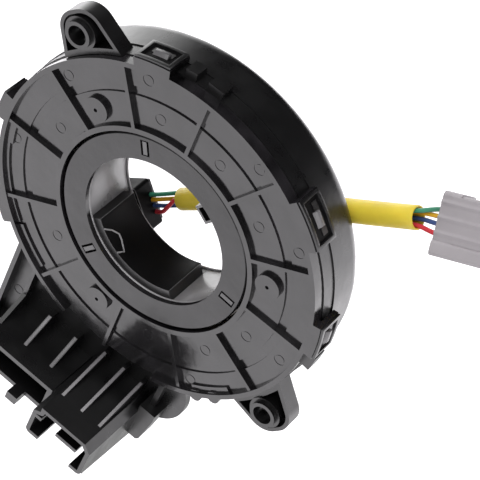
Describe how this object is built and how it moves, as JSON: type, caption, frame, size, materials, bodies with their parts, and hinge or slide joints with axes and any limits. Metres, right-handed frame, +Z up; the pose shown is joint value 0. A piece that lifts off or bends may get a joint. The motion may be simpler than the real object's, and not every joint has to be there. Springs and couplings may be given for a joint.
{
  "type": "steering clock spring",
  "caption": "Round clock spring with a ribbed face, screw ears, two connector shrouds, a turning hub and a short sheathed lead with a grey plug.",
  "frame": {"origin": "on the steering axis, at the column-side face of the turning ring", "axes": "-Y along the steering axis towards the column, +X right seen from the column, +Z up"},
  "size_m": [0.1598, 0.057, 0.1366],
  "materials": {
    "black_gloss": "gloss",
    "black_satin": "satin",
    "clear_film": "gloss",
    "tin": "satin",
    "ribbon_film": "gloss",
    "yellow_sleeve": "satin",
    "wire_green": "satin",
    "wire_yellow": "satin",
    "wire_blue": "satin",
    "wire_red": "satin",
    "grey_nylon": "satin"
  },
  "bodies": {
    "stator": {"housing": "black_gloss", "cover": "black_satin", "slip_sheet_front": "clear_film", "stator_lead_block": "black_satin", "connector_a_pins": "tin", "connector_b_pins": "tin", "base_lid": "black_gloss"},
    "rotor": {"rotor_ring": "black_satin", "rotor_hub": "black_gloss", "slip_sheet_rear": "clear_film", "ribbon_cable": "ribbon_film", "rotor_lead_block": "black_gloss", "block_cap": "black_gloss", "lead_sheath": "yellow_sleeve", "wire_green": "wire_green", "wire_yellow": "wire_yellow", "wire_blue": "wire_blue", "wire_red": "wire_red", "plug_housing": "grey_nylon", "plug_lock": "grey_nylon", "plug_terminals": "tin"}
  },
  "joints": [
    {"name": "rotor_turn", "type": "hinge", "parent": "stator", "child": "rotor", "pos_m": [0, 0, 0], "axis": [0, 1, 0], "range_deg": [-900, 900], "deforming": ["ribbon_cable"]}
  ]
}
